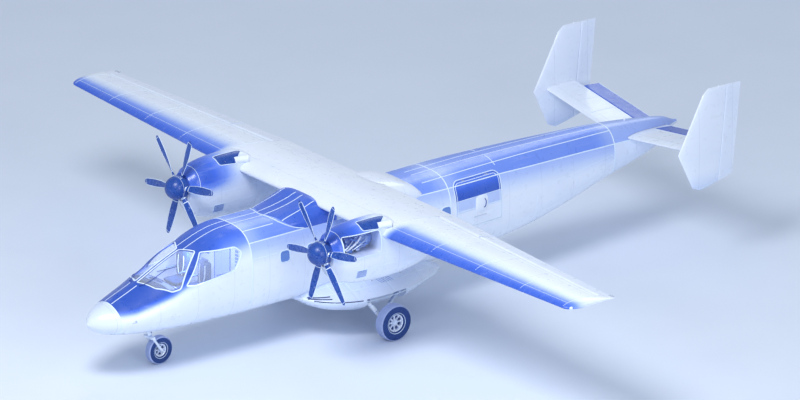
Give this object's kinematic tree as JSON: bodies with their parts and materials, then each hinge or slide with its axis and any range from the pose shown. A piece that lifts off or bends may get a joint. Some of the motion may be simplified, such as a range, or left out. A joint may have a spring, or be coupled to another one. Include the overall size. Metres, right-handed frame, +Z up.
{
  "type": "twin turboprop airliner",
  "caption": "High-wing twin-engine turboprop airliner with twin fins, glazed cockpit, hollow cabin, sponson landing gear and hinged control surfaces.",
  "frame": {"origin": "on the ground under the centreline, midway between nose tip and tail tip", "axes": "+X to port along the span, -Y forward, +Z up"},
  "size_m": [20, 18, 4.6201],
  "materials": {
    "fuselage_skin": "satin",
    "nose_skin": "satin",
    "wing_skin": "satin",
    "tail_skin": "satin",
    "elevator_skin": "satin",
    "nacelle_skin": "satin",
    "sponson_skin": "satin",
    "gear_metal": "satin",
    "wheel_metal": "satin",
    "tyre": "matte",
    "interior": "matte",
    "panel": "matte",
    "equipment": "satin",
    "glazing": "gloss",
    "seat": "matte",
    "engine": "satin",
    "propeller": "satin"
  },
  "bodies": {
    "airframe": {"nose_cap": "nose_skin", "cockpit_body": "fuselage_skin", "cabin_body": "fuselage_skin", "tail_body": "fuselage_skin", "tail_cone": "fuselage_skin", "cockpit_floor": "interior", "cabin_floor": "interior", "cockpit_bulkhead": "interior", "instrument_panel": "panel", "equipment_rack": "equipment", "wing_fairing": "fuselage_skin", "wing_centre": "wing_skin", "stabiliser": "tail_skin", "nose_leg": "gear_metal", "windscreen_left": "glazing", "side_window_left": "glazing", "seat_left": "seat", "wing_left": "wing_skin", "nacelle_left": "nacelle_skin", "engine_left": "engine", "sponson_left": "sponson_skin", "main_leg_left": "gear_metal", "fin_left": "tail_skin", "windscreen_right": "glazing", "side_window_right": "glazing", "seat_right": "seat", "wing_right": "wing_skin", "nacelle_right": "nacelle_skin", "engine_right": "engine", "sponson_right": "sponson_skin", "main_leg_right": "gear_metal", "fin_right": "tail_skin"},
    "propeller_left": {"propeller_left": "propeller"},
    "main_wheel_left": {"main_wheel_left": "wheel_metal", "main_tyre_left": "tyre"},
    "flap_left": {"flap_left": "wing_skin"},
    "aileron_left": {"aileron_left": "wing_skin"},
    "elevator_left": {"elevator_left": "elevator_skin"},
    "rudder_left": {"rudder_left": "tail_skin"},
    "propeller_right": {"propeller_right": "propeller"},
    "main_wheel_right": {"main_wheel_right": "wheel_metal", "main_tyre_right": "tyre"},
    "flap_right": {"flap_right": "wing_skin"},
    "aileron_right": {"aileron_right": "wing_skin"},
    "elevator_right": {"elevator_right": "elevator_skin"},
    "rudder_right": {"rudder_right": "tail_skin"},
    "nose_steering": {"nose_fork": "gear_metal"},
    "nose_wheel": {"nose_wheel": "wheel_metal", "nose_tyre": "tyre"},
    "rear_door": {"rear_door": "fuselage_skin"}
  },
  "joints": [
    {"name": "propeller_left_spin", "type": "hinge", "parent": "airframe", "child": "propeller_left", "pos_m": [2.857, -4.09, 3.05], "axis": [0, 1, 0], "continuous": true},
    {"name": "main_wheel_left_roll", "type": "hinge", "parent": "airframe", "child": "main_wheel_left", "pos_m": [2.17, -1.4, 0.45], "axis": [1, 0, 0], "continuous": true},
    {"name": "propeller_right_spin", "type": "hinge", "parent": "airframe", "child": "propeller_right", "pos_m": [-2.857, -4.09, 3.05], "axis": [0, 1, 0], "continuous": true},
    {"name": "main_wheel_right_roll", "type": "hinge", "parent": "airframe", "child": "main_wheel_right", "pos_m": [-2.17, -1.4, 0.45], "axis": [1, 0, 0], "continuous": true},
    {"name": "nose_steer", "type": "hinge", "parent": "airframe", "child": "nose_steering", "pos_m": [0, -7.13, 0.74], "axis": [0, 0, 1], "range_deg": [-45, 45]},
    {"name": "nose_wheel_roll", "type": "hinge", "parent": "nose_steering", "child": "nose_wheel", "pos_m": [0, -6.85, 0.35], "axis": [1, 0, 0], "continuous": true},
    {"name": "rear_door_lift", "type": "hinge", "parent": "airframe", "child": "rear_door", "pos_m": [0.765, 2.19, 2.968], "axis": [0, -1, 0], "range_deg": [0, 80]},
    {"name": "flap_left_lower", "type": "hinge", "parent": "airframe", "child": "flap_left", "pos_m": [3.33, -0.85488, 3.31764], "axis": [-0.9996, 0.0292, 0.0046], "range_deg": [0, 35]},
    {"name": "aileron_left_turn", "type": "hinge", "parent": "airframe", "child": "aileron_left", "pos_m": [4.98, -0.90315, 3.31013], "axis": [-0.9996, 0.0292, 0.0046], "range_deg": [-20, 20]},
    {"name": "elevator_left_turn", "type": "hinge", "parent": "airframe", "child": "elevator_left", "pos_m": [0.39611, 8.1036, 2.75567], "axis": [-0.9903, 0, -0.1392], "range_deg": [-25, 20]},
    {"name": "rudder_left_turn", "type": "hinge", "parent": "airframe", "child": "rudder_left", "pos_m": [2.864, 8.07, 2.33], "axis": [0, 0.1044, 0.9945], "range_deg": [-22, 22]},
    {"name": "flap_right_lower", "type": "hinge", "parent": "airframe", "child": "flap_right", "pos_m": [-3.33, -0.85488, 3.31764], "axis": [-0.9996, -0.0292, -0.0046], "range_deg": [0, 35]},
    {"name": "aileron_right_turn", "type": "hinge", "parent": "airframe", "child": "aileron_right", "pos_m": [-4.98, -0.90315, 3.31013], "axis": [-0.9996, -0.0292, -0.0046], "range_deg": [-20, 20]},
    {"name": "elevator_right_turn", "type": "hinge", "parent": "airframe", "child": "elevator_right", "pos_m": [-0.39611, 8.1036, 2.75567], "axis": [-0.9903, 0, 0.1392], "range_deg": [-25, 20]},
    {"name": "rudder_right_turn", "type": "hinge", "parent": "airframe", "child": "rudder_right", "pos_m": [-2.864, 8.07, 2.33], "axis": [0, 0.1044, 0.9945], "range_deg": [-22, 22]}
  ],
  "couplings": [
    {"joint": "flap_right_lower", "follows": "flap_left_lower", "ratio": 1},
    {"joint": "aileron_right_turn", "follows": "aileron_left_turn", "ratio": -1},
    {"joint": "elevator_right_turn", "follows": "elevator_left_turn", "ratio": 1},
    {"joint": "rudder_right_turn", "follows": "rudder_left_turn", "ratio": 1}
  ]
}
